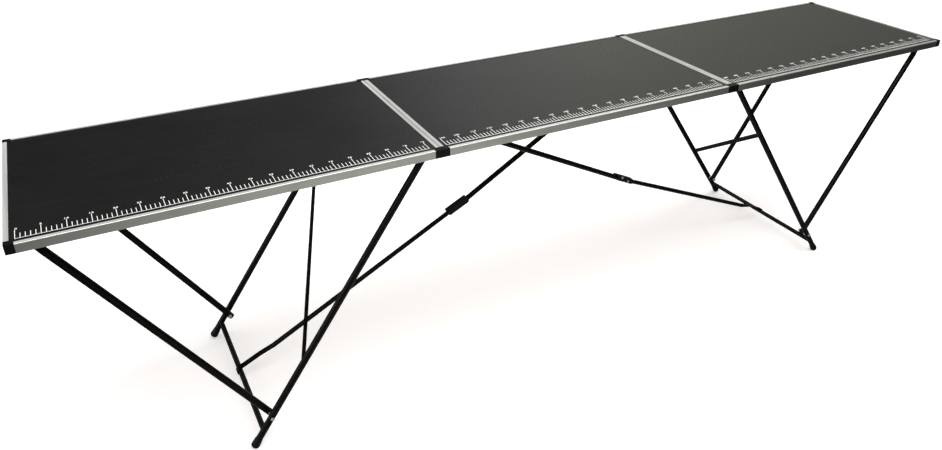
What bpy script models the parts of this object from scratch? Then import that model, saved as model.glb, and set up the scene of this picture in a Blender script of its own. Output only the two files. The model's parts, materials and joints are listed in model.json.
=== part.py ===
"""Folding wallpaper pasting table: three hinged board sections, two folding leg sets, two centre braces.

Metres, +Z up. X runs along the table, the ruled front edge faces -Y, and the feet stand on z = 0.
The left half is the right half turned by 180 degrees about Z, as the photographed braces and diagonals show.
"""
import math

import bmesh
import bpy
from mathutils import Matrix, Vector

# Table top
SECTION_LENGTH = 1.000
TABLE_WIDTH = 0.600
TABLE_HEIGHT = 0.785
BOARD_THICKNESS = 0.005
CLEARANCE = 0.0003
JOINT_GAP = 0.0008

# Edge rail, an aluminium channel round each section
RAIL_HEIGHT = 0.0225
RAIL_WALL = 0.0012
FLANGE_WIDTH = 0.011
FLANGE_THICKNESS = 0.0010
LEDGE_WIDTH = 0.0105
LEDGE_THICKNESS = 0.0012
LIP_WIDTH = 0.008
LIP_THICKNESS = 0.0012
RAIL_EDGE_RADIUS = 0.0016

# Plastic corner cap, with the barrels of the section hinge on the inner ones
CAP_SIZE = 0.020
CAP_CORNER_RADIUS = 0.0025
SPIGOT_REACH = 0.012
SPIGOT_DEPTH = 0.0075
BARREL_INSET = 0.009
BARREL_RADIUS = 0.0035
BARREL_LENGTH = 0.0042
BARREL_RELIEF = 0.0005
HINGE_PIN_RADIUS = 0.0015

# Leg tubes
LEG_RADIUS = 0.0095
LEG_WALL = 0.0012
LEG_INSET = 0.0265
LEG_SETBACK = 0.0405
LEG_PIVOT_DROP = 0.0114
LEG_SPREAD = 0.5405
LEG_TOP_OVERHANG = 0.0065
FOOT_RADIUS = 0.012
FOOT_LENGTH = 0.032
FOOT_SOLE = 0.012
FOOT_RIM_WALL = 0.0006
FOOT_TAPER = 0.016
FOOT_END_RADIUS = 0.007
FOOT_FLAT_DEPTH = 0.0012

# Inner U-shaped frame
UFRAME_INSET = 0.0235
UFRAME_BOLT_Z = 0.085
UFRAME_BAR_SETBACK = 0.0405
UFRAME_BAR_DROP = 0.0114
UFRAME_BEND_RADIUS = 0.045
UFRAME_OVERHANG = 0.012

# Crossbar and diagonal between the main legs
CROSSBAR_RADIUS = 0.0078
CROSSBAR_WALL = 0.0012
CROSSBAR_Z = 0.0485
DIAGONAL_LOW_Z = 0.23
DIAGONAL_HIGH_Z = 0.57
DIAGONAL_WIDTH = 0.0165
DIAGONAL_THICKNESS = 0.0025

# Bolts and rivets
BOLT_RADIUS = 0.003
BOLT_HEAD_RADIUS = 0.0055
BOLT_HEAD_HEIGHT = 0.003
NUT_HEIGHT = 0.0045
SPACER_RADIUS = 0.0065
RIVET_RADIUS = 0.0025
RIVET_HEAD_RADIUS = 0.0045
RIVET_HEAD_HEIGHT = 0.0014

# Leg pivot bracket inside the long rail
PIVOT_PLATE_LENGTH = 0.036
PIVOT_PLATE_THICKNESS = 0.003

# Saddle clip that holds the U-frame's bar
CLIP_LENGTH = 0.040
CLIP_WALL = 0.003
CLIP_FOOT = 0.010
CLIP_BASE_SHARE = 0.9
CLIP_OPEN_ANGLE = math.radians(58)

# Centre brace
BRACE_BRACKET_SETBACK = 0.084
BRACE_BRACKET_Y = 0.097
BRACE_PIVOT_DROP = 0.0134
ROD_RUN = 0.753
KNUCKLE_SAG = 0.0233
RIVET_SPACING = 0.032
BRACE_TUBE_RADIUS = 0.0085
BRACE_TUBE_WALL = 0.0012
ROD_RADIUS = 0.0075
ROD_WALL = 0.0012
KNUCKLE_OVERHANG = 0.024
KNUCKLE_WALL = 0.0018
KNUCKLE_DROP = 0.0062
KNUCKLE_CHAMFER = 0.0045
EAR_THICKNESS = 0.0025
EAR_LENGTH = 0.024
EAR_DROP = 0.009
BRACKET_PLATE = 0.002
BRACKET_FLANGE = 0.010
TONGUE_LENGTH = 0.075
TONGUE_TAPER = 0.045
TONGUE_WIDTH = 0.0195
TONGUE_THICKNESS = 0.003
HOOK_DROP = 0.005

# Facets
TUBE_SIDES = 18
SMALL_SIDES = 12
BEND_STEPS = 6
SMOOTH_ANGLE = math.radians(40)
CUT_OVERRUN = 0.004

# Finishes: colour, metallic, roughness
FINISHES = {
    "aluminium": ((0.62, 0.62, 0.60), 1.0, 0.34),
    "board": ((0.030, 0.030, 0.029), 0.0, 0.38),
    "black_plastic": ((0.016, 0.017, 0.017), 0.0, 0.45),
    "black_paint": ((0.012, 0.012, 0.012), 0.0, 0.33),
    "zinc": ((0.60, 0.60, 0.58), 1.0, 0.30),
}


def material(name, finish):
    """One Principled material for one piece."""
    colour, metallic, roughness = FINISHES[finish]
    made = bpy.data.materials.new(name)
    made.use_nodes = True
    shader = made.node_tree.nodes["Principled BSDF"]
    shader.inputs["Base Color"].default_value = (*colour, 1.0)
    shader.inputs["Metallic"].default_value = metallic
    shader.inputs["Roughness"].default_value = roughness
    made.diffuse_color = (*colour, 1.0)
    return made


def empty(name, location, parent=None, turn=0.0):
    """A joint axis or a half of the table, as an empty that its pieces hang from."""
    made = bpy.data.objects.new(name, None)
    made.location = location
    made.rotation_euler = (0.0, 0.0, turn)
    made.parent = parent
    bpy.context.collection.objects.link(made)
    return made


def piece(name, mesh, finish, parent, location, pitch=0.0, turn=0.0):
    """One named piece, placed by its location and rotation under its joint's empty."""
    shape = mesh.copy()
    shape.name = name
    shape.materials.clear()
    shape.materials.append(material(name, finish))
    shape.shade_smooth()
    shape.set_sharp_from_angle(angle=SMOOTH_ANGLE)
    made = bpy.data.objects.new(name, shape)
    made.parent = parent
    made.location = Vector(location) - base_of(parent)
    made.rotation_euler = (0.0, pitch, turn)
    bpy.context.collection.objects.link(made)
    return made


def base_of(holder):
    """Where an empty lies in its half of the table."""
    place = Vector((0.0, 0.0, 0.0))
    while holder is not None:
        place += holder.location
        holder = holder.parent
    return place


def finish_mesh(shape):
    """Turn a bmesh into a mesh whose faces point outward."""
    bmesh.ops.recalc_face_normals(shape, faces=shape.faces)
    mesh = bpy.data.meshes.new("shape")
    shape.to_mesh(mesh)
    shape.free()
    return mesh


def loft(rings):
    """A closed solid through rings of equally many points."""
    shape = bmesh.new()
    loops = [[shape.verts.new(point) for point in ring] for ring in rings]
    for low, high in zip(loops, loops[1:]):
        for near, far in zip(range(-1, len(low) - 1), range(len(low))):
            shape.faces.new((low[near], low[far], high[far], high[near]))
    shape.faces.new(reversed(loops[0]))
    shape.faces.new(loops[-1])
    return finish_mesh(shape)


def circle(radius, sides, centre=Vector((0.0, 0.0, 0.0)), across=Vector((1, 0, 0)), up=Vector((0, 1, 0))):
    """Points round a circle that lies across and up from its centre."""
    turns = [math.tau * index / sides for index in range(sides)]
    return [centre + radius * (math.cos(turn) * across + math.sin(turn) * up) for turn in turns]


def turned(profile, sides=SMALL_SIDES):
    """A turned solid from radius and height pairs along Z."""
    return loft([circle(radius, sides, Vector((0.0, 0.0, height))) for radius, height in profile])


def crosswise(profile, sides=SMALL_SIDES):
    """A turned solid from radius and height pairs along Y."""
    mesh = turned(profile, sides)
    mesh.transform(Matrix.Rotation(-math.pi / 2, 4, "X"))
    return mesh


def prism(outline, low, high):
    """An outline in X and Z, extruded along Y from low to high."""
    return loft([[Vector((x, y, z)) for x, z in outline] for y in (low, high)])


def block(low, high):
    """A box between two corners."""
    outline = [(low[0], low[2]), (high[0], low[2]), (high[0], high[2]), (low[0], high[2])]
    return prism(outline, low[1], high[1])


def arc(centre_x, centre_z, radius, start, end, steps=BEND_STEPS):
    """Points of an arc in a profile, from one angle to another."""
    turns = [start + (end - start) * step / steps for step in range(steps + 1)]
    return [(centre_x + radius * math.cos(turn), centre_z + radius * math.sin(turn)) for turn in turns]


def combine(base, cuts=(), joins=()):
    """A mesh with others joined to it and then cut from it."""
    body = bpy.data.objects.new("body", base)
    bpy.context.collection.objects.link(body)
    tools = []
    steps = [("UNION", mesh) for mesh in joins] + [("DIFFERENCE", mesh) for mesh in cuts]
    for operation, mesh in steps:
        tool = bpy.data.objects.new("tool", mesh)
        bpy.context.collection.objects.link(tool)
        boolean = body.modifiers.new("boolean", "BOOLEAN")
        boolean.operation = operation
        boolean.object = tool
        tools.append(tool)
    bpy.context.view_layer.update()
    evaluated = body.evaluated_get(bpy.context.evaluated_depsgraph_get())
    mesh = bpy.data.meshes.new_from_object(evaluated)
    for spare in [body, *tools]:
        bpy.data.objects.remove(spare)
    return mesh


def tube(path, radius, wall, across, sides=TUBE_SIDES):
    """An open tube of even wall along a flat path, whose plane is square to the given direction."""
    shape = bmesh.new()
    walls = []
    for reach in (radius, radius - wall):
        loops = []
        for index, point in enumerate(path):
            before = path[max(index - 1, 0)]
            after = path[min(index + 1, len(path) - 1)]
            along = (after - before).normalized()
            up = along.cross(across)
            loops.append([shape.verts.new(spot) for spot in circle(reach, sides, point, across, up)])
        walls.append(loops)
    outer, inner = walls
    for loops in walls:
        for low, high in zip(loops, loops[1:]):
            for near, far in zip(range(-1, sides - 1), range(sides)):
                shape.faces.new((low[near], low[far], high[far], high[near]))
    for outside, inside in ((outer[0], inner[0]), (outer[-1], inner[-1])):
        for near, far in zip(range(-1, sides - 1), range(sides)):
            shape.faces.new((outside[near], outside[far], inside[far], inside[near]))
    return finish_mesh(shape)


def cross_hole(radius, reach, spot=Vector((0.0, 0.0, 0.0))):
    """A cutter along Y for a bolt or a rivet."""
    mesh = crosswise([(radius + CLEARANCE, -reach), (radius + CLEARANCE, reach)])
    mesh.transform(Matrix.Translation(spot))
    return mesh


# Heights in the rail, from its lower edge
LEDGE_TOP = RAIL_HEIGHT - FLANGE_THICKNESS - BOARD_THICKNESS - 2 * CLEARANCE
LEDGE_BOTTOM = LEDGE_TOP - LEDGE_THICKNESS
RAIL_Z = TABLE_HEIGHT - RAIL_HEIGHT

# The board hangs under the rail's flange, and what is fixed under it seats a clearance below
BOARD_TOP = TABLE_HEIGHT - FLANGE_THICKNESS - CLEARANCE
BOARD_UNDERSIDE = BOARD_TOP - BOARD_THICKNESS
SEAT_Z = BOARD_UNDERSIDE - CLEARANCE
BODY_LENGTH = SECTION_LENGTH - JOINT_GAP
HINGE_X = SECTION_LENGTH / 2

# Leg frame: pivots beside the joint, feet further out, and the U-frame's bar near the table's end
LEG_Y = TABLE_WIDTH / 2 - LEG_INSET
LEG_PIVOT_X = HINGE_X + LEG_SETBACK
LEG_PIVOT_Z = SEAT_Z - LEG_PIVOT_DROP
LEG_FOOT_X = LEG_PIVOT_X + LEG_SPREAD
LEG_LEAN = math.atan2(LEG_SPREAD, LEG_PIVOT_Z)
LEG_LENGTH = math.hypot(LEG_SPREAD, LEG_PIVOT_Z)
UFRAME_Y = LEG_Y - UFRAME_INSET
UFRAME_BAR_X = HINGE_X + SECTION_LENGTH - UFRAME_BAR_SETBACK
UFRAME_BAR_Z = SEAT_Z - UFRAME_BAR_DROP


def leg_x(height):
    """Where the main legs' plane is at a height."""
    return LEG_FOOT_X - height * math.tan(LEG_LEAN)


BOLT_X = leg_x(UFRAME_BOLT_Z)
UFRAME_LEAN = math.atan2(UFRAME_BAR_X - BOLT_X, UFRAME_BAR_Z - UFRAME_BOLT_Z)
UFRAME_LENGTH = math.hypot(UFRAME_BAR_X - BOLT_X, UFRAME_BAR_Z - UFRAME_BOLT_Z)
CROSSBAR_X = leg_x(CROSSBAR_Z)

# Brace line: the knuckle lies along the straight line between the brace's two ends, and sags below it
BRACE_BRACKET_X = HINGE_X - BRACE_BRACKET_SETBACK
BRACE_PIVOT_Z = SEAT_Z - BRACE_PIVOT_DROP
BRACE_PITCH = math.atan2(BRACE_PIVOT_Z - CROSSBAR_Z, CROSSBAR_X + BRACE_BRACKET_X)
KNUCKLE_X = CROSSBAR_X - ROD_RUN
KNUCKLE_Z = CROSSBAR_Z + ROD_RUN * math.tan(BRACE_PITCH) - KNUCKLE_SAG
RIVET_STEP = Vector((math.cos(BRACE_PITCH), 0.0, -math.sin(BRACE_PITCH))) * (RIVET_SPACING / 2)
UPPER_RIVET = Vector((KNUCKLE_X, 0.0, KNUCKLE_Z)) - RIVET_STEP
LOWER_RIVET = Vector((KNUCKLE_X, 0.0, KNUCKLE_Z)) + RIVET_STEP
BRACE_SKEW = BRACE_BRACKET_Y / (CROSSBAR_X + BRACE_BRACKET_X)
UPPER_PITCH = math.atan2(BRACE_PIVOT_Z - UPPER_RIVET.z, UPPER_RIVET.x + BRACE_BRACKET_X)
UPPER_REACH = math.hypot(BRACE_PIVOT_Z - UPPER_RIVET.z, UPPER_RIVET.x + BRACE_BRACKET_X)
UPPER_SHIFT = BRACE_SKEW * (UPPER_RIVET.x + BRACE_BRACKET_X)

# The rod's tongue lies flush with the top of the rod and passes over the crossbar
TONGUE_UNDERSIDE = ROD_RADIUS - TONGUE_THICKNESS
CROSSBAR_DROP = CROSSBAR_RADIUS + CLEARANCE - TONGUE_UNDERSIDE
ROD_SPAN = math.hypot(CROSSBAR_X - LOWER_RIVET.x, LOWER_RIVET.z - CROSSBAR_Z)
ROD_REACH = math.sqrt(ROD_SPAN ** 2 - CROSSBAR_DROP ** 2)
ROD_PITCH = (math.atan2(LOWER_RIVET.z - CROSSBAR_Z, CROSSBAR_X - LOWER_RIVET.x)
             - math.asin(CROSSBAR_DROP / ROD_SPAN))
ROD_SHIFT = BRACE_SKEW * (CROSSBAR_X - LOWER_RIVET.x)
KNUCKLE_Y = BRACE_SKEW * (KNUCKLE_X - CROSSBAR_X)


def rail_mesh(length):
    """Extruded edge rail along X: outer face at y = 0, flange, ledge and lip reaching inward."""
    profile = [
        (0.0, 0.0),
        (LIP_WIDTH, 0.0),
        (LIP_WIDTH, LIP_THICKNESS),
        (RAIL_WALL, LIP_THICKNESS),
        (RAIL_WALL, LEDGE_BOTTOM),
        (LEDGE_WIDTH, LEDGE_BOTTOM),
        (LEDGE_WIDTH, LEDGE_TOP),
        (RAIL_WALL, LEDGE_TOP),
        (RAIL_WALL, RAIL_HEIGHT - FLANGE_THICKNESS),
        (FLANGE_WIDTH, RAIL_HEIGHT - FLANGE_THICKNESS),
        (FLANGE_WIDTH, RAIL_HEIGHT),
    ]
    corner = RAIL_EDGE_RADIUS
    profile += arc(corner, RAIL_HEIGHT - corner, corner, math.pi / 2, math.pi, steps=BEND_STEPS // 2)
    return loft([[Vector((x, y, z)) for y, z in profile] for x in (-length / 2, length / 2)])


def cap_mesh(hinge):
    """Corner cap from its outer corner inward, with spigots in both rails and a slot for the board.

    hinge is None on a free corner, "pin" on the middle section and "ring" on an outer one. The hinge's
    axis runs along Y, half the joint's gap outside the cap's face at x = 0.
    """
    corner = CAP_CORNER_RADIUS
    outline = arc(corner, corner, corner, math.pi, 1.5 * math.pi, steps=BEND_STEPS // 2)
    if hinge:
        outline = [(0.0, 0.0)]
    outline += [(CAP_SIZE, 0.0), (CAP_SIZE, CAP_SIZE), (0.0, CAP_SIZE)]
    body = loft([[Vector((x, y, z)) for x, y in outline] for z in (0.0, RAIL_HEIGHT)])
    root = CAP_SIZE - SPIGOT_REACH / 2
    tip = CAP_SIZE + SPIGOT_REACH
    low = LIP_THICKNESS + CLEARANCE
    high = LEDGE_BOTTOM - CLEARANCE
    side = RAIL_WALL + CLEARANCE
    joins = [block((root, side, low), (tip, SPIGOT_DEPTH, high)),
             block((side, root, low), (SPIGOT_DEPTH, tip, high))]
    past = CAP_SIZE + CUT_OVERRUN
    slot = block((RAIL_WALL, RAIL_WALL, LEDGE_TOP), (past, past, RAIL_HEIGHT - FLANGE_THICKNESS))
    if not hinge:
        return combine(body, cuts=[slot], joins=joins)
    axis = Matrix.Translation((-JOINT_GAP / 2, 0.0, 0.0))
    ring_low = (CAP_SIZE + BARREL_INSET - BARREL_LENGTH) / 2
    ring_high = ring_low + BARREL_LENGTH
    if hinge == "ring":
        barrels = [(ring_low, ring_high)]
        reliefs = [(BARREL_INSET - CLEARANCE, ring_low), (ring_high, past)]
    else:
        barrels = [(BARREL_INSET, ring_low - CLEARANCE), (ring_high + CLEARANCE, CAP_SIZE)]
        reliefs = [(ring_low - CLEARANCE, ring_high + CLEARANCE)]
    relief = BARREL_RADIUS + BARREL_RELIEF
    gaps = [crosswise([(relief, start), (relief, end)], TUBE_SIDES) for start, end in reliefs]
    tubes = [crosswise([(BARREL_RADIUS, start), (BARREL_RADIUS, end)]) for start, end in barrels]
    inset = BARREL_LENGTH / 4
    pin = crosswise([(HINGE_PIN_RADIUS, ring_low - inset), (HINGE_PIN_RADIUS, ring_high + inset)])
    bore = HINGE_PIN_RADIUS + CLEARANCE
    hole = crosswise([(bore, BARREL_INSET), (bore, past)])
    for mesh in [*gaps, *tubes, pin, hole]:
        mesh.transform(axis)
    body = combine(body, cuts=[slot, *gaps], joins=joins)
    if hinge == "ring":
        return combine(body, cuts=[hole], joins=tubes)
    return combine(body, joins=[*tubes, pin])


def mirrored(mesh, x_sign, y_sign):
    """A mirrored copy of a cap for another corner."""
    made = mesh.copy()
    made.transform(Matrix.Diagonal((x_sign, y_sign, 1.0, 1.0)))
    if x_sign * y_sign < 0:
        made.flip_normals()
    return made


def build_section(name, centre_x, parent, ends, caps):
    """One board with its four rails and four caps.

    ends names the rails and caps at the low and the high X end, and caps holds the kind of each.
    """
    clear = RAIL_WALL + CLEARANCE
    half = Vector((BODY_LENGTH / 2 - clear, TABLE_WIDTH / 2 - clear, BOARD_THICKNESS / 2))
    board_z = BOARD_UNDERSIDE + BOARD_THICKNESS / 2
    piece(f"{name}_board", block(-half, half), "board", parent, (centre_x, 0.0, board_z))
    cap_room = 2 * (CAP_SIZE + CLEARANCE)
    long_rail = rail_mesh(BODY_LENGTH - cap_room)
    short_rail = rail_mesh(TABLE_WIDTH - cap_room)
    for y_sign, turn in ((-1, 0.0), (1, math.pi)):
        label = side_label(name, y_sign)
        spot = (centre_x, y_sign * TABLE_WIDTH / 2, RAIL_Z)
        piece(f"{name}_{label}_rail", long_rail, "aluminium", parent, spot, turn=turn)
    for x_sign, end, kind in zip((-1, 1), ends, caps):
        edge_x = centre_x + x_sign * BODY_LENGTH / 2
        turn = x_sign * math.pi / 2
        piece(f"{name}_{end}_rail", short_rail, "aluminium", parent, (edge_x, 0.0, RAIL_Z), turn=turn)
        for y_sign in (-1, 1):
            cap = mirrored(kind, -x_sign, -y_sign)
            spot = (edge_x, y_sign * TABLE_WIDTH / 2, RAIL_Z)
            piece(f"{name}_{side_label(name, y_sign)}_{end}_cap", cap, "black_plastic", parent, spot)


def side_label(name, y_sign):
    """Front or rear, for a piece that is modelled in the right half's axes."""
    turned_half = name == "left"
    return "front" if (y_sign < 0) != turned_half else "rear"


def leg_mesh():
    """Main leg from its pivot down, with the holes for its pivot and for the U-frame's bolt."""
    path = [Vector((0.0, 0.0, LEG_TOP_OVERHANG)), Vector((0.0, 0.0, FOOT_SOLE - LEG_LENGTH))]
    shell = tube(path, LEG_RADIUS, LEG_WALL, Vector((0, 1, 0)))
    bolt_down = Vector((0.0, 0.0, -(LEG_PIVOT_Z - UFRAME_BOLT_Z) / math.cos(LEG_LEAN)))
    holes = [cross_hole(BOLT_RADIUS, LEG_RADIUS + CUT_OVERRUN),
             cross_hole(BOLT_RADIUS, LEG_RADIUS + CUT_OVERRUN, bolt_down)]
    return combine(shell, cuts=holes)


def foot_mesh():
    """Plastic foot round the end of a leg, tapered above, its rounded end cut flat on the floor.

    The origin is where the leg's line meets the floor.
    """
    top = FOOT_LENGTH
    bend = FOOT_END_RADIUS
    flat = FOOT_RADIUS - bend
    bend_height = (bend - FOOT_FLAT_DEPTH + flat * math.sin(LEG_LEAN)) / math.cos(LEG_LEAN)
    profile = arc(flat, bend_height, bend, -math.pi / 2, 0.0, steps=BEND_STEPS // 2)
    socket = LEG_RADIUS + CLEARANCE
    profile += [(FOOT_RADIUS, top - FOOT_TAPER), (socket + FOOT_RIM_WALL, top)]
    body = turned(profile, TUBE_SIDES)
    bore = turned([(socket, FOOT_SOLE - CLEARANCE), (socket, top + CUT_OVERRUN)], TUBE_SIDES)
    reach = 2 * FOOT_RADIUS
    floor = block((-reach, -reach, -2 * reach), (reach, reach, 0.0))
    floor.transform(Matrix.Rotation(LEG_LEAN, 4, "Y"))
    return combine(body, cuts=[bore, floor])


def uframe_mesh():
    """U-frame from its bolts up: two legs, two bends and the top bar."""
    bend = UFRAME_BEND_RADIUS
    corner_y = UFRAME_Y - bend
    top = UFRAME_LENGTH - bend
    side = arc(corner_y, top, bend, 0.0, math.pi / 2)
    half = [Vector((0.0, UFRAME_Y, -UFRAME_OVERHANG))] + [Vector((0.0, y, z)) for y, z in side]
    path = half + [Vector((point.x, -point.y, point.z)) for point in reversed(half)]
    shell = tube(path, LEG_RADIUS, LEG_WALL, Vector((1, 0, 0)))
    return combine(shell, cuts=[cross_hole(BOLT_RADIUS, UFRAME_Y + LEG_RADIUS + CUT_OVERRUN)])


def crossbar_mesh():
    """Crossbar whose ends are coped round the main legs."""
    path = [Vector((0.0, -LEG_Y, 0.0)), Vector((0.0, LEG_Y, 0.0))]
    shell = tube(path, CROSSBAR_RADIUS, CROSSBAR_WALL, Vector((1, 0, 0)))
    copes = []
    for y_sign in (-1, 1):
        reach = LEG_RADIUS + CLEARANCE
        cope = turned([(reach, -2 * FOOT_LENGTH), (reach, 2 * FOOT_LENGTH)], TUBE_SIDES)
        cope.transform(Matrix.Translation((0.0, y_sign * LEG_Y, 0.0)) @ Matrix.Rotation(-LEG_LEAN, 4, "Y"))
        copes.append(cope)
    return combine(shell, cuts=copes)


def diagonal_mesh():
    """Flat strip between the main legs, in their plane, with its ends coped round them.

    X runs from the low to the high end, Z is square to the legs' plane, and the origin is the strip's centre.
    """
    rise = (DIAGONAL_HIGH_Z - DIAGONAL_LOW_Z) / math.cos(LEG_LEAN)
    reach = math.hypot(rise, 2 * LEG_Y) / 2
    half = Vector((reach, DIAGONAL_WIDTH / 2, DIAGONAL_THICKNESS / 2))
    leg_turn = math.atan2(2 * LEG_Y, rise)
    bore = LEG_RADIUS + CLEARANCE
    copes = []
    for end in (-reach, reach):
        cope = turned([(bore, -2 * FOOT_LENGTH), (bore, 2 * FOOT_LENGTH)], TUBE_SIDES)
        cope.transform(Matrix.Rotation(leg_turn, 4, "Z") @ Matrix.Rotation(math.pi / 2, 4, "Y"))
        cope.transform(Matrix.Translation((end, 0.0, 0.0)))
        copes.append(cope)
    return combine(block(-half, half), cuts=copes)


def pivot_mesh():
    """Leg pivot: a plate inside the long rail, its boss, and the bolt through the leg. +Y is outward."""
    face = TABLE_WIDTH / 2 - RAIL_WALL - CLEARANCE - LEG_Y
    back = face - PIVOT_PLATE_THICKNESS
    low = RAIL_Z + LIP_THICKNESS + CLEARANCE - LEG_PIVOT_Z
    high = RAIL_Z + LEDGE_BOTTOM - CLEARANCE - LEG_PIVOT_Z
    start = -SPACER_RADIUS
    plate = block((start, back, low), (start + PIVOT_PLATE_LENGTH, face, high))
    seat = LEG_RADIUS + CLEARANCE
    boss = TABLE_WIDTH / 2 - LIP_WIDTH - CLEARANCE - LEG_Y
    middle = (boss + seat) / 2
    pad = block((start, middle, low), (-start, (back + face) / 2, high))
    bolt = crosswise([(BOLT_HEAD_RADIUS, -seat - NUT_HEIGHT), (BOLT_HEAD_RADIUS, -seat), (BOLT_RADIUS, -seat),
                      (BOLT_RADIUS, seat), (SPACER_RADIUS, seat), (SPACER_RADIUS, boss)])
    return combine(plate, joins=[pad, bolt])


def bolt_mesh():
    """U-frame bolt through the main leg and the U-frame, with its spacer, head and nut. +Y is outward."""
    outer = LEG_RADIUS + CLEARANCE
    between = LEG_Y - UFRAME_Y - LEG_RADIUS - CLEARANCE
    inner = between + 2 * outer
    dome = BOLT_HEAD_HEIGHT / 2
    return crosswise([
        (BOLT_RADIUS, -inner - NUT_HEIGHT - dome), (BOLT_RADIUS, -inner - NUT_HEIGHT),
        (BOLT_HEAD_RADIUS, -inner - NUT_HEIGHT), (BOLT_HEAD_RADIUS, -inner),
        (BOLT_RADIUS, -inner), (BOLT_RADIUS, -between), (SPACER_RADIUS, -between), (SPACER_RADIUS, -outer),
        (BOLT_RADIUS, -outer), (BOLT_RADIUS, outer), (BOLT_HEAD_RADIUS, outer),
        (BOLT_HEAD_RADIUS, outer + dome), (BOLT_RADIUS, outer + BOLT_HEAD_HEIGHT),
    ])


def clip_mesh():
    """Saddle clip under the board, open below and outward, so that the bar leaves downward or outward."""
    bore = LEG_RADIUS + CLEARANCE
    top = SEAT_Z - UFRAME_BAR_Z
    base = top - (top - bore) * CLIP_BASE_SHARE
    back = -bore - CLIP_WALL
    outline = arc(0.0, 0.0, bore, CLIP_OPEN_ANGLE, math.pi)
    outline += [(back, 0.0), (back, base - CLIP_WALL), (back - CLIP_FOOT, base), (back - CLIP_FOOT, top),
                (bore + CLIP_WALL, top), (bore + CLIP_WALL, base)]
    return prism(outline, -CLIP_LENGTH / 2, CLIP_LENGTH / 2)


def eye(spot, radius, wall):
    """Rounded plug in the end of a brace tube, round its rivet and a little slimmer than the tube."""
    half_width = radius - wall / 2
    mesh = crosswise([(half_width, -half_width), (half_width, half_width)], TUBE_SIDES)
    mesh.transform(Matrix.Translation(spot))
    return mesh


def upper_tube_mesh():
    """Upper brace tube from its bracket to the knuckle, rounded at both pivots and hollow between them."""
    end = Vector((UPPER_REACH, UPPER_SHIFT, 0.0))
    start = Vector((0.0, 0.0, 0.0))
    along = end.normalized()
    across = along.cross(Vector((0, 0, 1)))
    up = Vector((0, 0, 1))
    body = loft([circle(BRACE_TUBE_RADIUS, TUBE_SIDES, spot, across, up) for spot in (start, end)])
    inside = BRACE_TUBE_RADIUS - BRACE_TUBE_WALL
    hollow = loft([circle(inside, TUBE_SIDES, spot, across, up) for spot in (start, end)])
    eyes = [eye(spot, BRACE_TUBE_RADIUS, BRACE_TUBE_WALL) for spot in (start, end)]
    reach = BRACE_TUBE_RADIUS + CUT_OVERRUN
    holes = [cross_hole(RIVET_RADIUS, reach, spot) for spot in (start, end)]
    return combine(combine(body, joins=eyes), cuts=[hollow, *holes])


def flat_ring(spot, along_up, half_width, half_height):
    """A flattened tube's outline: a rounded rectangle of as many points as a round ring."""
    up = along_up.normalized()
    ring = []
    for index in range(TUBE_SIDES):
        turn = math.tau * index / TUBE_SIDES
        wide = half_width * min(1.0, abs(math.cos(turn)) * math.sqrt(2)) * math.copysign(1.0, math.cos(turn))
        high = half_height * min(1.0, abs(math.sin(turn)) * math.sqrt(2)) * math.copysign(1.0, math.sin(turn))
        ring.append(spot + wide * Vector((0, -1, 0)) + high * up)
    return ring


def rod_mesh():
    """Lower brace rod: an eye at the knuckle, and a flattened tongue that hooks over the crossbar.

    The origin is the eye's rivet, X runs to the crossbar, and the tongue's hook is open below and inward.
    """
    slope = ROD_SHIFT / ROD_REACH
    up = Vector((0, 0, 1))

    def centre(x, z=0.0):
        return Vector((x, slope * x, z))

    start = centre(0.0)
    taper_start = ROD_REACH - TONGUE_LENGTH - TONGUE_TAPER
    tongue_start = ROD_REACH - TONGUE_LENGTH
    half = TONGUE_THICKNESS / 2
    tongue_z = TONGUE_UNDERSIDE + half
    width = TONGUE_WIDTH / 2
    hook_bore = CROSSBAR_RADIUS + CLEARANCE + half
    tongue_y = centre(tongue_start).y

    def tongue(x, z, direction):
        return flat_ring(Vector((x, tongue_y, z)), direction, width, half)

    side = Vector((0, -1, 0))
    ends = (start, centre(taper_start))
    rings = [circle(ROD_RADIUS, TUBE_SIDES, spot, side, up) for spot in ends]
    rings.append(tongue(tongue_start, tongue_z, up))
    for x, z in reversed(arc(ROD_REACH, -CROSSBAR_DROP, hook_bore, 0.0, math.pi / 2)):
        rings.append(tongue(x, z, Vector((x - ROD_REACH, 0.0, z + CROSSBAR_DROP))))
    rings.append(tongue(ROD_REACH + hook_bore, tongue_z - HOOK_DROP - ROD_RADIUS, Vector((1, 0, 0))))
    inside = ROD_RADIUS - ROD_WALL
    hollow = loft([circle(inside, TUBE_SIDES, spot, side, up) for spot in ends])
    body = combine(loft(rings), joins=[eye(start, ROD_RADIUS, ROD_WALL)])
    return combine(body, cuts=[hollow, cross_hole(RIVET_RADIUS, ROD_RADIUS + CUT_OVERRUN)])


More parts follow.
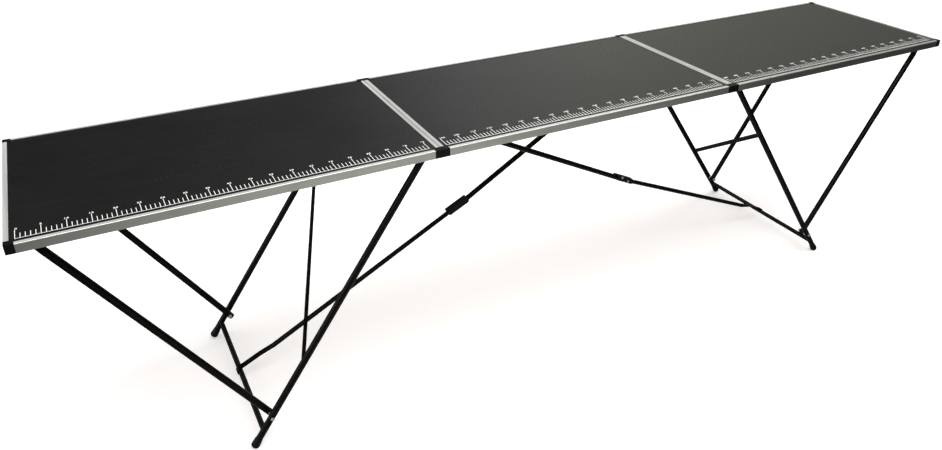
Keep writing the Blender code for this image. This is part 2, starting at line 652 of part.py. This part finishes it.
def knuckle_mesh():
    """Plastic knuckle: a channel closed above, open below, with a rivet through each tube.

    The origin is the upper rivet and X runs to the lower one. The knuckle is fast on the upper tube, the rod
    turns on the lower rivet, and the web above stops the rod past straight.
    """
    skew_room = KNUCKLE_OVERHANG * BRACE_SKEW
    half_gap = BRACE_TUBE_RADIUS + skew_room + CLEARANCE
    half_width = half_gap + KNUCKLE_WALL
    kink = max(UPPER_PITCH - BRACE_PITCH, BRACE_PITCH - ROD_PITCH)
    web_low = BRACE_TUBE_RADIUS + KNUCKLE_OVERHANG * math.tan(kink) + CLEARANCE
    web_high = web_low + KNUCKLE_WALL
    low_end = -KNUCKLE_OVERHANG
    high_end = RIVET_SPACING + KNUCKLE_OVERHANG
    chamfer = KNUCKLE_CHAMFER
    outline = [(low_end + chamfer, -KNUCKLE_DROP), (high_end - chamfer, -KNUCKLE_DROP),
               (high_end, -KNUCKLE_DROP + chamfer), (high_end, web_high - KNUCKLE_WALL),
               (high_end - KNUCKLE_WALL, web_high), (low_end + KNUCKLE_WALL, web_high),
               (low_end, web_high - KNUCKLE_WALL), (low_end, -KNUCKLE_DROP + chamfer)]
    body = prism(outline, -half_width, half_width)
    channel = block((low_end - CUT_OVERRUN, -half_gap, -KNUCKLE_DROP - CUT_OVERRUN),
                    (high_end + CUT_OVERRUN, half_gap, web_low))
    shell = combine(body, cuts=[channel])
    tip = half_width + RIVET_HEAD_HEIGHT
    rim = half_width + RIVET_HEAD_HEIGHT / 2
    root = half_width - KNUCKLE_WALL / 2
    head = [(RIVET_RADIUS, root), (RIVET_HEAD_RADIUS, root), (RIVET_HEAD_RADIUS, rim), (RIVET_RADIUS, tip)]
    profile = [(radius, -along) for radius, along in reversed(head)] + head
    rivets = []
    for spot in (Vector((0.0, 0.0, 0.0)), Vector((RIVET_SPACING, 0.0, 0.0))):
        rivet = crosswise(profile)
        rivet.transform(Matrix.Translation(spot))
        rivets.append(rivet)
    return combine(shell, joins=rivets)


def bracket_mesh():
    """Brace bracket under the board: a plate with two ears and the pivot pin. Its origin is the pivot."""
    half_gap = BRACE_TUBE_RADIUS + EAR_LENGTH / 2 * BRACE_SKEW + CLEARANCE
    top = SEAT_Z - BRACE_PIVOT_Z
    half_length = EAR_LENGTH / 2
    outside = half_gap + EAR_THICKNESS
    plate = block((-half_length, -outside - BRACKET_FLANGE, top - BRACKET_PLATE),
                  (half_length, outside + BRACKET_FLANGE, top))
    ears = []
    for y_sign in (-1, 1):
        outline = [(-half_length, top - BRACKET_PLATE / 2), (-half_length / 2, -EAR_DROP),
                   (half_length / 2, -EAR_DROP), (half_length, top - BRACKET_PLATE / 2)]
        edges = sorted((y_sign * half_gap, y_sign * outside))
        ears.append(prism(outline, *edges))
    head = outside + RIVET_HEAD_HEIGHT
    pin = crosswise([(RIVET_HEAD_RADIUS, -head), (RIVET_HEAD_RADIUS, -outside), (RIVET_RADIUS, -outside),
                     (RIVET_RADIUS, outside), (RIVET_HEAD_RADIUS, outside), (RIVET_HEAD_RADIUS, head)])
    return combine(plate, joins=[*ears, pin])


def build_leg_set(name, section):
    """The pieces of one leg set: pivots on the section, the leg frame and the U-frame."""
    legs = empty(f"{name}_leg_axis", Vector((LEG_PIVOT_X, 0.0, LEG_PIVOT_Z)) - base_of(section), section)
    frame = empty(f"{name}_uframe_axis", Vector((BOLT_X, 0.0, UFRAME_BOLT_Z)) - base_of(legs), legs)
    pivot = pivot_mesh()
    bolt = bolt_mesh()
    leg = leg_mesh()
    foot = foot_mesh()
    for y_sign in (-1, 1):
        label = side_label(name, y_sign)
        y = y_sign * LEG_Y
        outward = Matrix.Identity(4) if y_sign > 0 else Matrix.Diagonal((1.0, -1.0, 1.0, 1.0))
        pivot_side = pivot.copy()
        bolt_side = bolt.copy()
        for mesh in (pivot_side, bolt_side):
            mesh.transform(outward)
            if y_sign < 0:
                mesh.flip_normals()
        piece(f"{name}_{label}_leg_pivot", pivot_side, "zinc", section, (LEG_PIVOT_X, y, LEG_PIVOT_Z))
        piece(f"{name}_{label}_leg", leg, "black_paint", legs, (LEG_PIVOT_X, y, LEG_PIVOT_Z), pitch=-LEG_LEAN)
        piece(f"{name}_{label}_foot", foot, "black_plastic", legs, (LEG_FOOT_X, y, 0.0), pitch=-LEG_LEAN)
        piece(f"{name}_{label}_bolt", bolt_side, "zinc", legs, (BOLT_X, y, UFRAME_BOLT_Z))
    piece(f"{name}_crossbar", crossbar_mesh(), "black_paint", legs, (CROSSBAR_X, 0.0, CROSSBAR_Z))
    place_diagonal(name, legs)
    bolts = (BOLT_X, 0.0, UFRAME_BOLT_Z)
    piece(f"{name}_uframe", uframe_mesh(), "black_paint", frame, bolts, pitch=UFRAME_LEAN)
    piece(f"{name}_uframe_clip", clip_mesh(), "black_plastic", section, (UFRAME_BAR_X, 0.0, UFRAME_BAR_Z))


def place_diagonal(name, legs):
    """Set the strip between the legs, low at +Y and high at -Y in its half's axes."""
    middle_z = (DIAGONAL_LOW_Z + DIAGONAL_HIGH_Z) / 2
    outward = Vector((-math.cos(LEG_LEAN), 0.0, -math.sin(LEG_LEAN)))
    spot = Vector((leg_x(middle_z), 0.0, middle_z))
    low = Vector((leg_x(DIAGONAL_LOW_Z), LEG_Y, DIAGONAL_LOW_Z))
    high = Vector((leg_x(DIAGONAL_HIGH_Z), -LEG_Y, DIAGONAL_HIGH_Z))
    along = (high - low).normalized()
    across = outward.cross(along)
    strip = diagonal_mesh()
    made = piece(f"{name}_diagonal", strip, "black_paint", legs, spot)
    made.rotation_euler = Matrix((along, across, outward)).transposed().to_euler()


def build_brace(name, half):
    """The pieces of one centre brace. Its bracket is on the middle section, its tongue on the crossbar."""
    pivot = Vector((-BRACE_BRACKET_X, KNUCKLE_Y - UPPER_SHIFT, BRACE_PIVOT_Z))
    upper_rivet = UPPER_RIVET + Vector((0.0, KNUCKLE_Y, 0.0))
    lower_rivet = LOWER_RIVET + Vector((0.0, KNUCKLE_Y, 0.0))
    upper = empty(f"{name}_brace_axis", pivot, half)
    rod = empty(f"{name}_rod_axis", lower_rivet - pivot, upper)
    piece(f"{name}_brace_bracket", bracket_mesh(), "zinc", half, pivot)
    piece(f"{name}_brace_upper", upper_tube_mesh(), "black_paint", upper, pivot, pitch=UPPER_PITCH)
    piece(f"{name}_brace_knuckle", knuckle_mesh(), "black_plastic", upper, upper_rivet, pitch=BRACE_PITCH)
    piece(f"{name}_brace_rod", rod_mesh(), "black_paint", rod, lower_rivet, pitch=ROD_PITCH)


def build_half(name, turn, caps):
    """An outer section with its leg set, and the brace that reaches its crossbar."""
    half = empty(f"{name}_half", (0.0, 0.0, 0.0), turn=turn)
    section = empty(f"{name}_section_axis", (HINGE_X, 0.0, RAIL_Z), half)
    build_section(name, SECTION_LENGTH, section, ("inner", "outer"), caps)
    build_leg_set(name, section)
    build_brace(name, half)


def main():
    """Build the whole table."""
    for old in list(bpy.data.objects):
        bpy.data.objects.remove(old)
    pin_cap = cap_mesh("pin")
    ring_cap = cap_mesh("ring")
    free_cap = cap_mesh(None)
    build_section("middle", 0.0, None, ("left", "right"), (pin_cap, pin_cap))
    build_half("right", 0.0, (ring_cap, free_cap))
    build_half("left", math.pi, (ring_cap, free_cap))
    bpy.context.view_layer.update()
    report_joints()


def report_joints():
    """Print where each joint's axis lies."""
    for holder in bpy.data.objects:
        if holder.type == "EMPTY":
            place = holder.matrix_world.translation
            print(f"axis {holder.name}: {place.x:.5f} {place.y:.5f} {place.z:.5f}")


main()
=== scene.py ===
"""Finishes, printed ruler, floor, light and camera for the folding pasting table."""
import json
import math

import bmesh
import bpy
from mathutils import Euler, Matrix, Vector


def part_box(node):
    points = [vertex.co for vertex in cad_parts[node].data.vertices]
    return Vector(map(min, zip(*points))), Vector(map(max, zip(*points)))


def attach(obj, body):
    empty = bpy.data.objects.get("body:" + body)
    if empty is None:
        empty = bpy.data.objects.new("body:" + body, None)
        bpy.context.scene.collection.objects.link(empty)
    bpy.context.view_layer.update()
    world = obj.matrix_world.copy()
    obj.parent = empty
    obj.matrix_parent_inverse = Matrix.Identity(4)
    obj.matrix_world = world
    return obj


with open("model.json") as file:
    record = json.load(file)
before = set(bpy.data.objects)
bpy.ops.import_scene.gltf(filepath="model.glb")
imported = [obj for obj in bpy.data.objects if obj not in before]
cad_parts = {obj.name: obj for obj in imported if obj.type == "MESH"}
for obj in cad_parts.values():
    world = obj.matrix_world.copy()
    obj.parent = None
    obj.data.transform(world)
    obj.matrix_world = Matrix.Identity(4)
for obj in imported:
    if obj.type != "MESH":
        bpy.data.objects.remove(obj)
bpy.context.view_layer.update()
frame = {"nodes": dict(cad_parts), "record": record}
nodes = frame["nodes"]

# Lengths are in metres in the table's own frame: X along it, Y back from the ruled edge, Z up
BOARD_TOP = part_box("middle_board")[1].z
RAIL_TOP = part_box("middle_front_rail")[1].z
FRONT_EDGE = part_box("middle_front_rail")[0].y

# Printed ruler. Distances in Y are measured back from the table's front edge.
SECTIONS = ("left", "middle", "right")
SECTION_MARKS = 96
SECTION_STEP = 100
MARKS_PER_NUMBER = 5
CENTIMETRE = 0.01
RULER_ZERO = -1.477
BASELINE = (0.0246, 0.0261)
SHORT_TICK = 0.0480
TALL_TICK = 0.0648
TICK_WIDTH = 0.0014
NUMERAL_BASE = 0.0668
NUMERAL_HEIGHT = 0.0070
NUMERAL_STEP = 0.0057
NUMERAL_WIDTH = 0.0050
NUMERAL_BOLD = 0.03
INK_LEVEL = BOARD_TOP + 0.00008

# Depths below a top face between which one finish turns into another
LAMINATE_EDGE = (0.0008, 0.0006)
RUBBED_EDGE = (0.0005, 0.0001)

# Bright rivet heads in the knuckles
RIVET_HEAD = 0.0046
RIVET_RIM = 0.0002
RIVET_HEIGHT = 0.0016
RIVET_SPACING = 0.032
FLANK_EDGE = 0.0001

# Floor, with the lit pool that its reflections show
FLOOR_HALF = 30.0
FLOOR_GLOW = 0.25
POOL_MIDDLE = (-0.15, -1.8)
POOL_REACH = (1.30, 2.5)
POOL_LEVEL = 0.70
POOL_COLOUR = (1.0, 1.0, 0.91, 1.0)

# Studio. The wall's brightness goes by the direction's X, from the table's middle to its right.
WALL_LEVELS = ((0.0, 0.02), (0.28, 0.11), (0.42, 0.44), (0.56, 0.54), (0.80, 0.26))
ROOM_LEVEL = 0.04
LAMP_LEVELS = (1.8, 0.9)
SOFT_BOX_LEVEL = 1.3
MATT_LEVEL = 0.75
WHITE = (1.0, 1.0, 1.0, 1.0)
WARM = (1.0, 1.0, 0.87, 1.0)

# Area lamps: name, place, target, size, watts
LAMPS = (
    ("overhead", (0.3, -0.6, 3.4), (0.0, 0.0, 0.8), (5.0, 3.0), 150.0),
    ("front", (-2.6, -4.2, 2.6), (0.0, 0.0, 0.6), (3.0, 2.0), 15.0),
)

# Camera, fitted to the photograph: place, turn in degrees, lens in millimetres, shift
CAMERA_PLACE = (-1.29143, -2.02900, 1.67475)
CAMERA_TURN = (63.1263, -0.2699, -28.5641)
CAMERA_LENS = 30.980
CAMERA_SHIFT = (-0.026077, -0.053558)


# Node helpers
class Graph:
    """A node tree. Each call adds nodes, and their inputs are sockets or plain values."""

    def __init__(self, tree):
        self.tree = tree

    def set(self, socket, value):
        """Link a socket or set its plain value."""
        if isinstance(value, bpy.types.NodeSocket):
            self.tree.links.new(value, socket)
        else:
            socket.default_value = value

    def add(self, kind, inputs=None, **settings):
        """One node of a kind, with its inputs and settings."""
        node = self.tree.nodes.new("ShaderNode" + kind)
        for name, value in settings.items():
            setattr(node, name, value)
        for key, value in (inputs or {}).items():
            self.set(node.inputs[key], value)
        return node

    def axes(self, vector):
        """A vector's X, Y and Z."""
        return self.add("SeparateXYZ", {0: vector}).outputs

    def math(self, operation, first, second=0.0):
        """A Math node's result."""
        return self.add("Math", {0: first, 1: second}, operation=operation).outputs[0]

    def squares(self, first, second):
        """The sum of two squares."""
        return self.math("ADD", self.math("MULTIPLY", first, first),
                         self.math("MULTIPLY", second, second))

    def spread(self, value, span, result, smooth=True):
        """A value's span turned into another range, and held beyond its ends."""
        inputs = {"Value": value, "From Min": span[0], "From Max": span[1],
                  "To Min": result[0], "To Max": result[1]}
        kind = "SMOOTHSTEP" if smooth else "LINEAR"
        return self.add("MapRange", inputs, interpolation_type=kind).outputs[0]

    def mix(self, factor, first, second):
        """Two numbers mixed by a factor."""
        return self.add("Mix", {0: factor, 2: first, 3: second}).outputs[0]

    def blend(self, factor, first, second):
        """Two colours mixed by a factor."""
        return self.add("Mix", {0: factor, 6: first, 7: second}, data_type="RGBA").outputs[2]


class Finish(Graph):
    """A material's nodes, with patterns laid in the object's own coordinates."""

    def __init__(self, name):
        self.material = bpy.data.materials.new(name)
        self.material.use_nodes = True
        super().__init__(self.material.node_tree)
        self.shader = self.tree.nodes["Principled BSDF"]
        self.coords = self.add("TexCoord").outputs["Object"]
        self.x, self.y, self.z = self.axes(self.coords)

    def stretched(self, scale):
        """Object coordinates stretched by a scale along each axis."""
        mapping = self.add("Mapping", {"Vector": self.coords, "Scale": scale})
        return mapping.outputs["Vector"]

    def noise(self, vector, scale, detail, roughness=0.55):
        """Smooth noise from 0 to 1."""
        inputs = {"Vector": vector, "Scale": scale, "Detail": detail, "Roughness": roughness}
        return self.add("TexNoise", inputs).outputs["Fac"]

    def cells(self, scale):
        """Distance to the nearest point of a cell pattern."""
        inputs = {"Vector": self.coords, "Scale": scale}
        return self.add("TexVoronoi", inputs).outputs["Distance"]

    def tint(self, value, span, first, second, most=1.0):
        """A colour mixed towards a second one, at most by a share, as a value rises."""
        return self.blend(self.spread(value, span, (0.0, most)), first, second)

    def above(self, top, edge):
        """1 at a top face and 0 below it, changing between two depths."""
        return self.spread(self.z, (top - edge[0], top - edge[1]), (0.0, 1.0), smooth=False)

    def bump(self, value, strength, distance):
        """A bump from a height value."""
        inputs = {"Height": value, "Strength": strength, "Distance": distance}
        return self.add("Bump", inputs).outputs["Normal"]

    def finish(self, **sockets):
        """Set the shader's sockets. Underscores in names stand for spaces."""
        for name, value in sockets.items():
            self.set(self.shader.inputs[name.replace("_", " ")], value)
        return self.material


def linear(red, green, blue):
    """A colour in 0 to 255 display values as linear light."""
    def channel(value):
        part = value / 255
        return part / 12.92 if part <= 0.04045 else ((part + 0.055) / 1.055) ** 2.4
    return channel(red), channel(green), channel(blue), 1.0


def grey(level):
    """A grey in 0 to 255 display values as linear light."""
    return linear(level, level, level)


# Finishes
def board_material():
    """Black satin laminate above, raw hardboard below and on the edges."""
    graph = Finish("board_laminate")
    speck = graph.noise(graph.coords, scale=900.0, detail=4.0)
    cloud = graph.noise(graph.coords, scale=5.0, detail=3.0)
    smear = graph.noise(graph.stretched((3.0, 16.0, 16.0)), scale=1.6, detail=4.0)
    black = graph.tint(cloud, (0.3, 0.7), grey(17), grey(21))
    black = graph.tint(speck, (0.35, 0.75), black, grey(27), most=0.35)
    satin = graph.math("ADD", graph.spread(smear, (0.3, 0.7), (0.24, 0.27)),
                       graph.spread(speck, (0.3, 0.7), (-0.02, 0.02)))
    fibre = graph.noise(graph.stretched((60.0, 60.0, 400.0)), scale=3.0, detail=5.0, roughness=0.7)
    brown = graph.tint(fibre, (0.3, 0.7), linear(126, 91, 60), linear(163, 124, 86))
    flake = graph.spread(graph.cells(scale=700.0), (0.0, 0.5), (0.35, 0.0))
    brown = graph.blend(flake, brown, linear(92, 64, 42))
    above = graph.above(BOARD_TOP, LAMINATE_EDGE)
    grain = graph.mix(above, fibre, speck)
    return graph.finish(Base_Color=graph.blend(above, brown, black),
                        Roughness=graph.mix(above, 0.78, satin),
                        Normal=graph.bump(grain, strength=0.08, distance=0.0004))


def aluminium_material(name, along):
    """Mill-finish extrusion with die lines along one axis. Its top is more matt left and rear."""
    graph = Finish(name)
    lines = [700.0, 700.0, 700.0]
    lines[along] = 2.2
    drawn = graph.noise(graph.stretched(tuple(lines)), scale=1.0, detail=4.0, roughness=0.6)
    broad = [60.0, 60.0, 60.0]
    broad[along] = 0.8
    bands = graph.noise(graph.stretched(tuple(broad)), scale=1.0, detail=2.0)
    smudge = graph.noise(graph.coords, scale=22.0, detail=4.0)
    tone = graph.tint(drawn, (0.3, 0.7), linear(196, 197, 194), linear(213, 214, 211))
    tone = graph.tint(smudge, (0.45, 0.75), tone, linear(178, 180, 178), most=0.25)
    rough = graph.math("ADD", graph.spread(drawn, (0.25, 0.75), (0.33, 0.45)),
                       graph.spread(smudge, (0.4, 0.8), (0.0, 0.06)))
    rubbed = graph.math("ADD", graph.spread(graph.x, (-1.5, 1.0), (0.18, 0.0), smooth=False),
                        graph.spread(graph.y, (0.0, 0.28), (0.0, 0.10), smooth=False))
    top = graph.above(RAIL_TOP, RUBBED_EDGE)
    rough = graph.math("ADD", rough, graph.math("MULTIPLY", top, rubbed))
    groove = graph.math("ADD", graph.math("MULTIPLY", drawn, 0.7),
                        graph.math("MULTIPLY", bands, 0.5))
    return graph.finish(Base_Color=tone, Metallic=1.0, Roughness=rough,
                        Normal=graph.bump(groove, strength=0.16, distance=0.0003))


def plastic_material(name, rivets=(), flank=(0.0, 0.0)):
    """Moulded black plastic with a fine grain, and bright steel heads on a knuckle's one flank."""
    graph = Finish(name)
    grain = graph.noise(graph.coords, scale=2600.0, detail=3.0, roughness=0.6)
    flow = graph.noise(graph.coords, scale=90.0, detail=3.0)
    tone = graph.tint(flow, (0.35, 0.7), linear(5, 6, 6), linear(11, 12, 12))
    rough = graph.math("ADD", graph.spread(flow, (0.3, 0.7), (0.36, 0.46)),
                       graph.spread(grain, (0.3, 0.7), (-0.03, 0.03)))
    metal = 0.0
    for x, z in rivets:
        reach = graph.math("SQRT", graph.squares(graph.math("SUBTRACT", graph.x, x),
                                                 graph.math("SUBTRACT", graph.z, z)))
        head = graph.spread(reach, (RIVET_HEAD, RIVET_HEAD + RIVET_RIM), (1.0, 0.0))
        metal = graph.math("ADD", metal, head)
    if rivets:
        shown = graph.spread(graph.y, flank, (0.0, 1.0), smooth=False)
        metal = graph.math("MULTIPLY", metal, shown)
        steel = graph.tint(flow, (0.35, 0.7), linear(214, 214, 212), linear(196, 195, 190))
        tone = graph.blend(metal, tone, steel)
        rough = graph.mix(metal, rough, 0.36)
    return graph.finish(Base_Color=tone, Metallic=metal, Roughness=rough, Specular_IOR_Level=0.15,
                        Normal=graph.bump(grain, strength=0.22, distance=0.0002))


def paint_material(name, gloss):
    """Black powder coat with orange peel, rubbed thin in a few places."""
    graph = Finish(name)
    peel = graph.noise(graph.coords, scale=520.0, detail=2.0, roughness=0.5)
    dust = graph.noise(graph.coords, scale=45.0, detail=5.0, roughness=0.65)
    scuff = graph.noise(graph.stretched((130.0, 130.0, 40.0)), scale=1.4, detail=6.0,
                        roughness=0.75)
    worn = graph.spread(scuff, (0.70, 0.76), (0.0, 0.5))
    tone = graph.tint(dust, (0.42, 0.75), grey(2), grey(6))
    tone = graph.blend(worn, tone, linear(40, 39, 38))
    rough = graph.math("ADD", graph.spread(dust, (0.3, 0.75), (0.22, 0.34)),
                       graph.math("MULTIPLY", worn, 0.15))
    return graph.finish(Base_Color=tone, Roughness=rough, Specular_IOR_Level=gloss,
                        Normal=graph.bump(peel, strength=0.14, distance=0.0003))


def zinc_material():
    """Bright zinc plate with a faint mottle."""
    graph = Finish("zinc_plate")
    mottle = graph.cells(scale=420.0)
    haze = graph.noise(graph.coords, scale=160.0, detail=4.0)
    tone = graph.tint(mottle, (0.1, 0.7), linear(214, 216, 217), linear(230, 230, 227))
    tone = graph.tint(haze, (0.5, 0.75), tone, linear(180, 177, 170), most=0.4)
    return graph.finish(Base_Color=tone, Metallic=1.0,
                        Roughness=graph.spread(haze, (0.3, 0.7), (0.24, 0.40)),
                        Normal=graph.bump(haze, strength=0.10, distance=0.0003))


def ink_material():
    """White ruler print, a little thin where the roller missed."""
    graph = Finish("ruler_ink")
    thin = graph.noise(graph.coords, scale=1300.0, detail=3.0, roughness=0.6)
    patch = graph.noise(graph.coords, scale=60.0, detail=3.0)
    tone = graph.tint(thin, (0.55, 0.8), linear(232, 232, 228), linear(178, 178, 175), most=0.6)
    tone = graph.tint(patch, (0.45, 0.8), tone, linear(196, 196, 192), most=0.4)
    return graph.finish(Base_Color=tone, Roughness=graph.spread(patch, (0.3, 0.7), (0.42, 0.55)),
                        Normal=graph.bump(thin, strength=0.08, distance=0.0001))


def rivet_places(name):
    """Where a knuckle's two rivets lie in X and Z, and the edge in Y of the flank with heads."""
    side = name.split("_")[0]
    joint = next(joint for joint in frame["record"]["behaviour"]["joints"]
                 if joint["name"] == side + "_knuckle_rivet")
    low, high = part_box(name)
    x, z = joint["pos_m"][0], joint["pos_m"][2]
    middle_x, middle_z = (low.x + high.x) / 2, (low.z + high.z) / 2
    way = Vector((middle_x - x, middle_z - z)).normalized() * RIVET_SPACING
    if side == "left":
        flank = (high.y - RIVET_HEIGHT, high.y - RIVET_HEIGHT + FLANK_EDGE)
    else:
        flank = (low.y + RIVET_HEIGHT, low.y + RIVET_HEIGHT - FLANK_EDGE)
    return ((x, z), (x + way.x, z + way.y)), flank


def dress_nodes():
    """Give each node of the frame its finish."""
    long_rail = aluminium_material("aluminium_along_x", 0)
    end_rail = aluminium_material("aluminium_along_y", 1)
    strip = paint_material("black_strip", gloss=0.04)
    finishes = {"board": board_material(),
                "black_plastic": plastic_material("black_plastic"),
                "black_paint": paint_material("black_powder_coat", gloss=0.15),
                "zinc": zinc_material()}
    slots = {part["node"]: part["material_slot"] for part in frame["record"]["subparts"]}
    for name, node in nodes.items():
        if slots[name] == "aluminium":
            finish = long_rail if name.endswith(("front_rail", "rear_rail")) else end_rail
        elif name.endswith("knuckle"):
            finish = plastic_material(name, *rivet_places(name))
        elif name.endswith("diagonal"):
            finish = strip
        else:
            finish = finishes[slots[name]]
        for slot in node.material_slots:
            slot.material = finish


# Printed ruler
def numeral_outline(text):
    """A number's filled outline, one numeral beside the next, in the plane of the board."""
    outline = bmesh.new()
    start = -NUMERAL_STEP * len(text) / 2
    for place, figure in enumerate(text):
        curve = bpy.data.curves.new("numeral", "FONT")
        curve.body = figure
        curve.align_x = "CENTER"
        curve.offset = NUMERAL_BOLD
        holder = bpy.data.objects.new("numeral", curve)
        bpy.context.scene.collection.objects.link(holder)
        bpy.context.view_layer.update()
        shown = holder.evaluated_get(bpy.context.evaluated_depsgraph_get())
        mesh = bpy.data.meshes.new_from_object(shown)
        low, high = (Vector([pick(corner.co[axis] for corner in mesh.vertices)
                             for axis in range(3)]) for pick in (min, max))
        tall = NUMERAL_HEIGHT / (high.y - low.y)
        wide = min(tall, NUMERAL_WIDTH / (high.x - low.x))
        middle = start + NUMERAL_STEP * (place + 0.5)
        mesh.transform(Matrix.Translation((middle, 0.0, 0.0))
                       @ Matrix.Diagonal((wide, tall, 1.0, 1.0))
                       @ Matrix.Translation((-(low.x + high.x) / 2, -low.y, 0.0)))
        outline.from_mesh(mesh)
        bpy.data.objects.remove(holder)
        bpy.data.meshes.remove(mesh)
        bpy.data.curves.remove(curve)
    return outline


def add_number(target, text, middle):
    """A printed number beyond its tick, centred on a place in X."""
    outline = numeral_outline(text)
    outline.transform(Matrix.Translation((middle, FRONT_EDGE + NUMERAL_BASE, INK_LEVEL)))
    mesh = bpy.data.meshes.new("numeral")
    outline.to_mesh(mesh)
    outline.free()
    target.from_mesh(mesh)
    bpy.data.meshes.remove(mesh)


def add_bar(target, left, right, front, back):
    """One printed bar on the board, measured back from the table's front edge."""
    corners = [(left, front), (right, front), (right, back), (left, back)]
    target.faces.new([target.verts.new((x, FRONT_EDGE + y, INK_LEVEL)) for x, y in corners])


def build_ruler(section, first, ink):
    """The centimetre ruler printed along one section's front edge, from its first number."""
    ruler = bmesh.new()
    start = RULER_ZERO + first * CENTIMETRE
    for mark in range(SECTION_MARKS):
        middle = start + mark * CENTIMETRE
        numbered = mark % MARKS_PER_NUMBER == 0
        reach = TALL_TICK if numbered else SHORT_TICK
        add_bar(ruler, middle - TICK_WIDTH / 2, middle + TICK_WIDTH / 2, BASELINE[1], reach)
        if numbered:
            number = str(first + mark)
            beside = middle if mark else middle + NUMERAL_STEP * len(number) / 2 - TICK_WIDTH / 2
            add_number(ruler, number, beside)
    end = start + (SECTION_MARKS - 1) * CENTIMETRE
    add_bar(ruler, start - TICK_WIDTH / 2, end + TICK_WIDTH / 2, *BASELINE)
    mesh = bpy.data.meshes.new(section + "_ruler")
    ruler.to_mesh(mesh)
    ruler.free()
    mesh.materials.append(ink)
    piece = bpy.data.objects.new(section + "_ruler", mesh)
    bpy.context.scene.collection.objects.link(piece)
    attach(piece, section + "_section")


# Floor, light and camera
def add_floor():
    """Plain pale floor. Reflections see it as a softly lit pool in front of the table."""
    graph = Finish("floor")
    sheet = bmesh.new()
    bmesh.ops.create_grid(sheet, x_segments=1, y_segments=1, size=FLOOR_HALF)
    mesh = bpy.data.meshes.new("floor")
    sheet.to_mesh(mesh)
    sheet.free()
    mesh.materials.append(graph.material)
    floor = bpy.data.objects.new("floor", mesh)
    bpy.context.scene.collection.objects.link(floor)
    across, depth = (
        graph.math("DIVIDE", graph.math("SUBTRACT", place, middle), reach)
        for place, middle, reach in zip((graph.x, graph.y), POOL_MIDDLE, POOL_REACH))
    falloff = graph.math("MULTIPLY", graph.squares(across, depth), -1.0)
    pool = graph.math("MULTIPLY", graph.math("EXPONENT", falloff), POOL_LEVEL)
    studio = graph.add("Emission", {"Color": POOL_COLOUR, "Strength": pool})
    graph.finish(Base_Color=grey(252), Roughness=0.9, Specular_IOR_Level=0.1,
                 Emission_Color=WHITE, Emission_Strength=FLOOR_GLOW)
    glossy = graph.add("LightPath").outputs["Is Glossy Ray"]
    seen = graph.add("MixShader", {0: glossy, 1: graph.shader.outputs[0], 2: studio.outputs[0]})
    graph.set(graph.tree.nodes["Material Output"].inputs["Surface"], seen.outputs[0])


def add_world():
    """White to the camera, an even soft light on matt faces, and a dim studio in reflections."""
    world = bpy.data.worlds.new("studio")
    bpy.context.scene.world = world
    world.use_nodes = True
    graph = Graph(world.node_tree)
    graph.tree.nodes.clear()
    rays = graph.add("LightPath").outputs
    across, back, up = graph.axes(graph.add("TexCoord").outputs["Generated"])

    # A wall behind the table, brightest at the right, and a dark room in front
    ramp = graph.add("ValToRGB", {"Fac": across})
    for place, _ in WALL_LEVELS[2:]:
        ramp.color_ramp.elements.new(place)
    for element, (place, level) in zip(ramp.color_ramp.elements, WALL_LEVELS):
        element.position = place
        element.color = (level, level, level, 1.0)
    behind = graph.spread(back, (-0.1, 0.15), (0.0, 1.0))
    wall = graph.mix(behind, ROOM_LEVEL, ramp.outputs[0])

    # Lamps overhead, brighter at the left, and a soft box at the far left
    overhead = graph.spread(up, (0.55, 0.95), (0.0, 1.0))
    glossy = graph.mix(overhead, wall, graph.spread(across, (0.1, 0.75), LAMP_LEVELS))
    left = graph.spread(across, (-0.45, -0.75), (0.0, 1.0))
    box = graph.spread(up, (-0.05, 0.1), (0.0, SOFT_BOX_LEVEL))
    glossy = graph.mix(left, glossy, box)

    soft = graph.mix(rays["Is Glossy Ray"], MATT_LEVEL, glossy)
    strength = graph.mix(rays["Is Camera Ray"], soft, 1.0)
    warm = graph.spread(across, (0.4, 0.6), (0.0, rays["Is Glossy Ray"]), smooth=False)
    colour = graph.blend(warm, WHITE, WARM)
    background = graph.add("Background", {"Color": colour, "Strength": strength})
    graph.add("OutputWorld", {"Surface": background.outputs[0]})


def add_lamp(name, place, target, size, power):
    """A soft area lamp that points at a target."""
    data = bpy.data.lights.new(name, "AREA")
    data.shape = "RECTANGLE"
    data.size, data.size_y = size
    data.energy = power
    lamp = bpy.data.objects.new(name, data)
    lamp.location = place
    lamp.rotation_euler = (Vector(target) - Vector(place)).to_track_quat("-Z", "Y").to_euler()
    bpy.context.scene.collection.objects.link(lamp)


def add_camera():
    """The photograph's viewpoint."""
    data = bpy.data.cameras.new("camera")
    data.lens = CAMERA_LENS
    data.shift_x, data.shift_y = CAMERA_SHIFT
    camera = bpy.data.objects.new("camera", data)
    camera.location = CAMERA_PLACE
    camera.rotation_euler = Euler([math.radians(angle) for angle in CAMERA_TURN])
    bpy.context.scene.collection.objects.link(camera)
    bpy.context.scene.camera = camera


add_camera()
dress_nodes()
ink = ink_material()
for place, section in enumerate(SECTIONS):
    build_ruler(section, place * SECTION_STEP, ink)
add_floor()
add_world()
for lamp in LAMPS:
    add_lamp(*lamp)
bpy.context.scene.view_settings.view_transform = "Standard"
